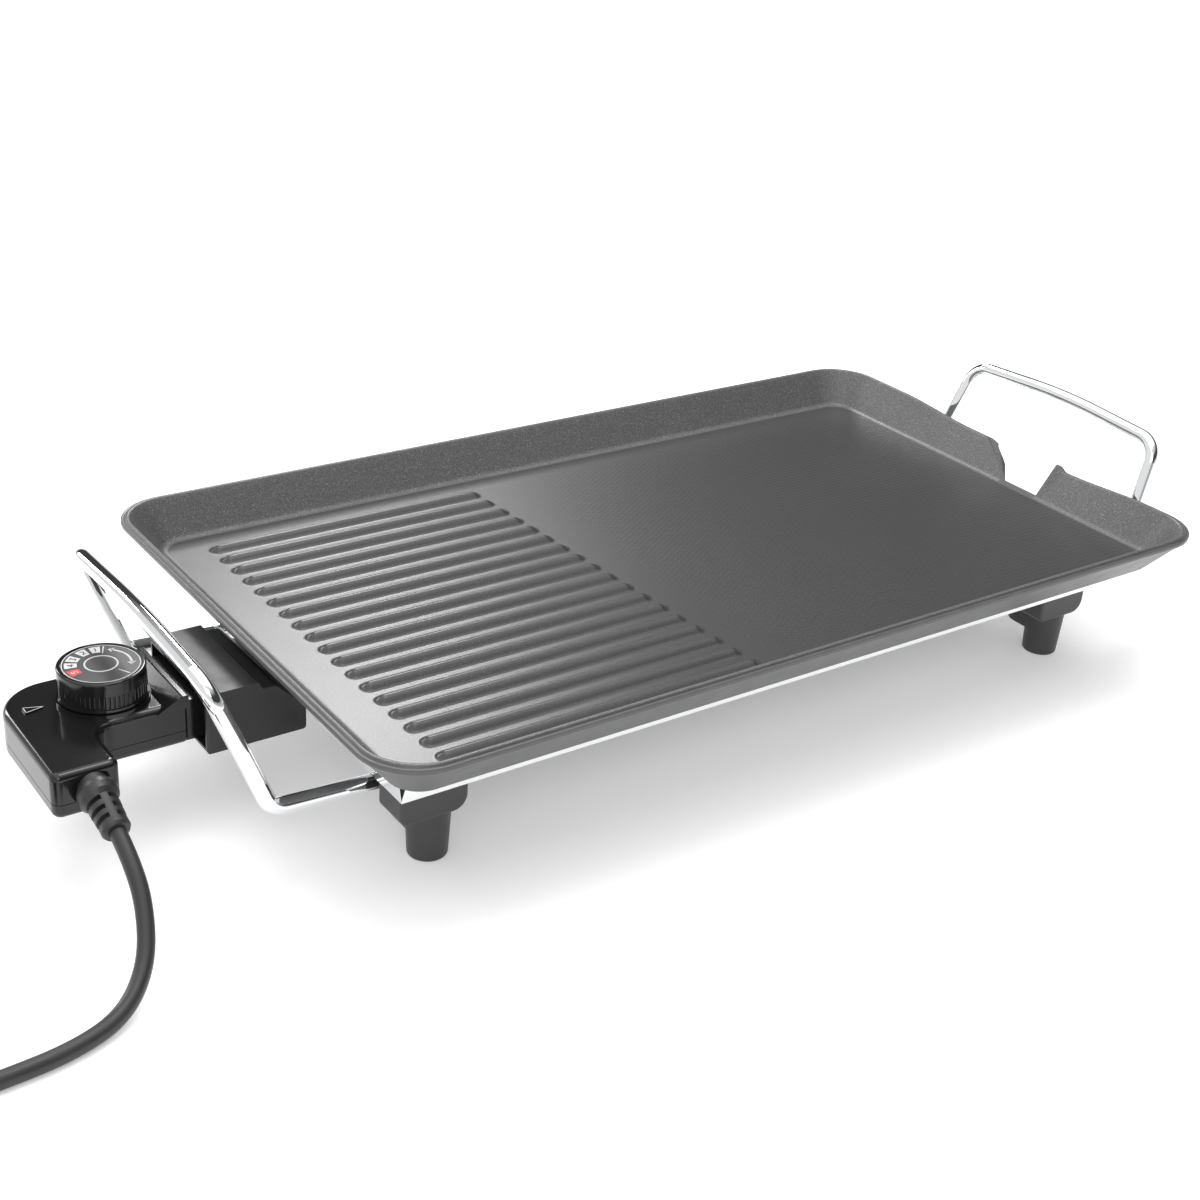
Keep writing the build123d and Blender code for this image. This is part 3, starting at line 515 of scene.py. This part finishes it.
def ring_faces(points, faces, inner, outer, start, end, z, steps):
    """A flat sector of a ring, angles in degrees."""
    first = len(points)
    for index in range(steps + 1):
        angle = radians(start + (end - start) * index / steps)
        for radius in (inner, outer):
            points.append((KNOB[0] + radius * cos(angle), KNOB[1] + radius * sin(angle), z))
    for index in range(steps):
        a = first + 2 * index
        faces.append((a, a + 1, a + 3, a + 2))


def flat_bar(points, faces, start, end, width, z):
    """A flat stroke between two points."""
    dx = end[0] - start[0]
    dy = end[1] - start[1]
    length = hypot(dx, dy)
    across = (-dy / length * width / 2, dx / length * width / 2)
    along = (dx / length * width / 3, dy / length * width / 3)
    first = len(points)
    for (x, y), way in ((start, -1), (end, 1)):
        end_x = x + way * along[0]
        end_y = y + way * along[1]
        for side in (-1, 1):
            points.append((end_x + side * across[0], end_y + side * across[1], z))
    faces.append((first, first + 2, first + 3, first + 1))


def dial_mark(name, build, material):
    """One printed mark on the dial, which rides on the knob."""
    points = []
    faces = []
    build(points, faces)
    piece = mesh_object(name, points, faces, material)
    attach(piece, "knob")


def figure_strokes(figure, middle_angle):
    """The strokes of one figure, its foot towards the knob's middle."""
    radius = (MARK_INNER + MARK_OUTER) / 2
    out = radians(middle_angle)
    across = (sin(out), -cos(out))
    up = (cos(out), sin(out))
    middle = (KNOB[0] + radius * up[0], KNOB[1] + radius * up[1])
    for stroke in STROKES[figure]:
        yield [(middle[0] + FIGURE_SCALE * (u * across[0] + v * up[0]),
                middle[1] + FIGURE_SCALE * (u * across[1] + v * up[1])) for u, v in stroke]


def dial_marks():
    """Five numbered blocks, two separators, an arc arrow, a centre ring and an edge ring."""
    blocks = {"4": 161, "3": 136, "2": 106, "1": 80}

    def pale(points, faces):
        for middle in blocks.values():
            ring_faces(points, faces, MARK_INNER, MARK_OUTER, middle - 9.5, middle + 9.5, PALE_Z, 8)
        for middle in (65, -60):
            ring_faces(points, faces, 8.8, MARK_OUTER, middle - 1.3, middle + 1.3, PALE_Z, 2)
        ring_faces(points, faces, 11.7, 12.7, -24, 50, PALE_Z, 24)
        for tip, way in ((56, -1), (-30, 1)):
            first = len(points)
            for angle, radius in ((tip, 12.2), (tip + way * 10, 10.4), (tip + way * 10, 14.0)):
                turn = radians(angle)
                points.append((KNOB[0] + radius * cos(turn), KNOB[1] + radius * sin(turn), PALE_Z))
            faces.append((first, first + 1, first + 2) if way > 0 else (first, first + 2, first + 1))
        ring_faces(points, faces, 6.3, 7.0, 0, 360, PALE_Z, 64)
        ring_faces(points, faces, 15.55, 15.95, 0, 360, PALE_Z, 96)
        for start, end in figure_strokes("5", -170):
            flat_bar(points, faces, start, end, FIGURE_STROKE, FIGURE_Z)

    def red(points, faces):
        ring_faces(points, faces, MARK_INNER, MARK_OUTER, -180.5, -159.5, PALE_Z, 8)

    def dark(points, faces):
        for figure, middle in blocks.items():
            for start, end in figure_strokes(figure, middle):
                flat_bar(points, faces, start, end, FIGURE_STROKE, FIGURE_Z)

    dial_mark("dial_pale_marks", pale, DIAL_WHITE)
    dial_mark("dial_red_mark", red, DIAL_RED)
    dial_mark("dial_dark_figures", dark, MATERIALS["dial_face"])


def pointer_outline():
    """Pale outline on the raised pointer."""
    corners = [(-328.0, 5.0), (-328.0, 0.8), (-320.4, 2.3)]
    points = []
    faces = []
    for start, end in zip(corners, corners[1:] + corners[:1]):
        flat_bar(points, faces, start, end, 0.32, 59.73)
    piece = mesh_object("pointer_outline", points, faces, DIAL_WHITE)
    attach(piece, "controller")


dial_marks()
pointer_outline()


# ---- supply cord -----------------------------------------------------------------
CORD_RADIUS = 3.5
COIL_X = -438.0
COIL_Y = -97.5
LOW_LAYER = 3.6
HIGH_LAYER = 10.7
ROUTE = [
    (-320.0, -73.3, 43.0), (-319.8, -84.8, 37.8), (-320.8, -99.8, 26.2), (-327.6, -116.6, 12.4),
    (-342.4, -130.6, 4.6), (-364.0, -138.0, 3.6), (-390.0, -139.7, 3.6), (-415.0, -139.4, 3.6),
]
TAIL = [(-480.0, -84.5, 10.9), (-480.0, -72.0, 17.4), (-480.0, -64.0, 18.6)]


def coil_turns():
    """Five and a quarter turns: inwards on the floor, then outwards on top."""
    points = []
    for index in range(1, 95):
        s = index * 20.0
        if s > 1890:
            break
        radius = float(np.interp(s, [250, 310, 610, 670, 1330, 1390, 1690, 1750],
                                 [42, 35, 35, 28, 28, 35, 35, 42]))
        z = float(np.interp(s, [1030, 1095], [LOW_LAYER, HIGH_LAYER]))
        angle = radians(-90.0 - s)
        points.append((COIL_X + radius * cos(angle), COIL_Y + radius * sin(angle), z))
    return points


def cord_piece():
    """The whole lead as one smooth spline."""
    points = ROUTE + coil_turns() + TAIL
    curve = bpy.data.curves.new("supply_cord", "CURVE")
    curve.dimensions = "3D"
    spline = curve.splines.new("NURBS")
    spline.points.add(len(points) - 1)
    for target, point in zip(spline.points, points):
        target.co = (*metres(point), 1.0)
    spline.order_u = 3
    spline.use_endpoint_u = True
    spline.resolution_u = 8
    curve.bevel_depth = CORD_RADIUS * MM
    curve.bevel_resolution = 5
    curve.use_fill_caps = True
    curve.materials.append(MATERIALS["cord_rubber"])
    piece = bpy.data.objects.new("supply_cord", curve)
    bpy.context.scene.collection.objects.link(piece)
    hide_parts("power_cord", "cord_coil", "cord_tail")
    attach(piece, "controller")
    return piece


cord_piece()


# ---- camera ------------------------------------------------------------------------
def camera():
    """The view from the front left, a little above."""
    data = bpy.data.cameras.new("camera")
    data.lens = 54.007
    data.sensor_width = 36.0
    data.clip_end = 50.0
    piece = bpy.data.objects.new("camera", data)
    bpy.context.scene.collection.objects.link(piece)
    right = Vector((0.8168012, -0.5733644, 0.0639453))
    up = Vector((0.2135986, 0.4035116, 0.8896932))
    back = Vector((-0.5359211, -0.7130439, 0.4520586))
    turn = Matrix((right, up, back)).transposed().to_4x4()
    piece.matrix_world = Matrix.Translation(metres((-519.083, -633.614, 444.582))) @ turn
    bpy.context.scene.camera = piece


camera()


# ---- floor and light ------------------------------------------------------------------
def stage_floor():
    """A large pale floor with a weak glow, which keeps the shadow light."""
    size = 9.0
    mesh = bpy.data.meshes.new("floor")
    corners = [(-size, -size, 0), (size, -size, 0), (size, size, 0), (-size, size, 0)]
    mesh.from_pydata(corners, [], [(0, 1, 2, 3)])
    piece = bpy.data.objects.new("floor", mesh)
    bpy.context.scene.collection.objects.link(piece)
    material, tree, shader = new_material("pale_floor")
    shader.inputs["Base Color"].default_value = (0.9, 0.9, 0.9, 1)
    shader.inputs["Roughness"].default_value = 0.9
    shader.inputs["Specular IOR Level"].default_value = 0.1
    shader.inputs["Emission Color"].default_value = (1, 1, 1, 1)
    shader.inputs["Emission Strength"].default_value = 0.28
    mesh.materials.append(material)


def soft_light(name, where, towards, width, height, power):
    """A soft rectangular light."""
    data = bpy.data.lights.new(name, "AREA")
    data.shape = "RECTANGLE"
    data.size = width
    data.size_y = height
    data.energy = power
    piece = bpy.data.objects.new(name, data)
    piece.location = where
    direction = Vector(towards) - Vector(where)
    piece.rotation_euler = direction.to_track_quat("-Z", "Y").to_euler()
    bpy.context.scene.collection.objects.link(piece)


def world_light():
    """A soft studio surround: bright overhead, at the horizon and on the left, with a dark band between."""
    world = bpy.data.worlds.new("studio")
    bpy.context.scene.world = world
    world.use_nodes = True
    tree = world.node_tree
    tree.nodes.clear()
    output = tree.nodes.new("ShaderNodeOutputWorld")
    sky = tree.nodes.new("ShaderNodeBackground")
    where = tree.nodes.new("ShaderNodeTexCoord").outputs["Generated"]
    split = tree.nodes.new("ShaderNodeSeparateXYZ")
    tree.links.new(where, split.inputs[0])
    height = ramp(tree, split.outputs["Z"], [
        (0.0, 0.70), (0.15, 0.45), (0.22, 0.05), (0.52, 0.07), (0.74, 0.80), (1.0, 1.0),
    ])
    side = ramp(tree, maths(tree, "ADD", maths(tree, "MULTIPLY", split.outputs["X"], 0.5), 0.5),
                [(0.10, 1.0), (0.34, 0.90), (0.42, 0.06), (0.50, 0.0)])
    mix = tree.nodes.new("ShaderNodeMix")
    mix.data_type = "RGBA"
    mix.blend_type = "LIGHTEN"
    mix.inputs["Factor"].default_value = 1.0
    tree.links.new(height, mix.inputs["A"])
    tree.links.new(side, mix.inputs["B"])
    tree.links.new(mix.outputs["Result"], sky.inputs["Color"])
    sky.inputs["Strength"].default_value = 0.85
    tree.links.new(sky.outputs[0], output.inputs["Surface"])


def aimed(azimuth, elevation, distance):
    """A place in a given direction from the middle of the plate."""
    turn = radians(azimuth)
    lift = radians(elevation)
    return (distance * cos(lift) * cos(turn), distance * cos(lift) * sin(turn), distance * sin(lift))


stage_floor()
world_light()
soft_light("overhead", (0.2, 0.5, 2.3), (0.2, 0.5, 0), 4.2, 3.6, 44)
soft_light("overhead_core", (0.25, 0.1, 2.2), (0, 0, 0.05), 0.8, 0.8, 9)
soft_light("rear_panel", aimed(67, 37, 2.15), (-0.15, -0.10, 0.06), 0.50, 0.42, 15)
soft_light("edge_strip", aimed(114, 22, 2.2), (-0.3, 0, 0.06), 0.35, 0.7, 9)
soft_light("front_panel", (-1.0, -1.7, 1.5), (-0.05, 0, 0.05), 1.2, 1.0, 8)
bpy.context.scene.view_settings.view_transform = "Standard"
